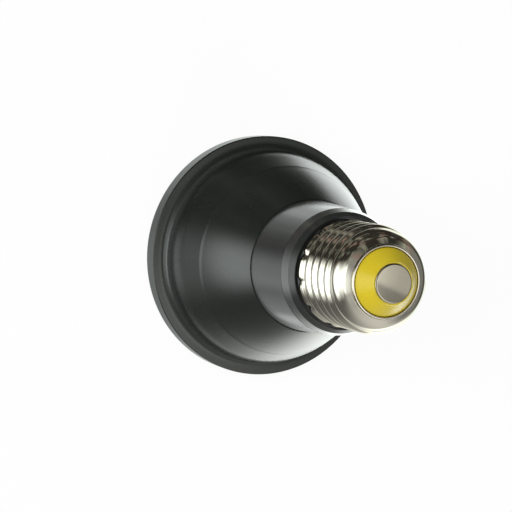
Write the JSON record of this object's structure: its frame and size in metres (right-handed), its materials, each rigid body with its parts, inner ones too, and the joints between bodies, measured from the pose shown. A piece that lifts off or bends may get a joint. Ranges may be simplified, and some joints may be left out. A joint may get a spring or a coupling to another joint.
{
  "type": "led reflector bulb",
  "caption": "Reflector lamp with a black flared body, a clear front cover and a screw cap at the back",
  "frame": {"origin": "centre of the plane of the front rim, on the lamp's axis", "axes": "+Z along the lamp's axis from the front rim to the end contact; X and Y across it"},
  "size_m": [0.0638, 0.0638, 0.0806],
  "materials": {
    "body_coat": "satin",
    "case_moulding": "gloss",
    "ring_moulding": "satin",
    "clear_cover": "clear",
    "mirror_coat": "polished",
    "spreader_metal": "satin",
    "pad_rubber": "matte",
    "board_mask": "satin",
    "chip_ceramic": "matte",
    "phosphor_gel": "satin",
    "screw_steel": "satin",
    "cap_plating": "polished",
    "insulator_glaze": "gloss",
    "contact_plating": "satin",
    "circuit_board": "satin",
    "ferrite": "matte",
    "bobbin_moulding": "matte",
    "winding_tape": "gloss",
    "can_sleeve": "gloss",
    "film_case": "satin",
    "component_body": "matte",
    "chip_body": "matte",
    "wire_cover": "gloss",
    "wire_cover_pale": "gloss"
  },
  "bodies": {
    "root": {"reflector_housing": "body_coat", "neck_shell": "case_moulding", "lens_ring": "ring_moulding", "front_lens": "clear_cover", "reflector_cup": "mirror_coat", "heat_spreader": "spreader_metal", "thermal_pad": "pad_rubber", "led_board": "board_mask", "led_chip": "chip_ceramic", "phosphor": "phosphor_gel", "board_screws": "screw_steel", "screw_shell": "cap_plating", "cap_insulator": "insulator_glaze", "centre_contact": "contact_plating", "driver_board": "circuit_board", "transformer_core": "ferrite", "transformer_bobbin": "bobbin_moulding", "transformer_winding": "winding_tape", "bulk_capacitor": "can_sleeve", "film_capacitor": "film_case", "filter_inductor": "component_body", "fuse_resistor": "chip_body", "bridge_rectifier": "component_body", "driver_chip": "component_body", "chip_parts": "chip_body", "led_leads": "wire_cover", "line_wire": "wire_cover", "neutral_wire": "wire_cover_pale"}
  },
  "joints": []
}
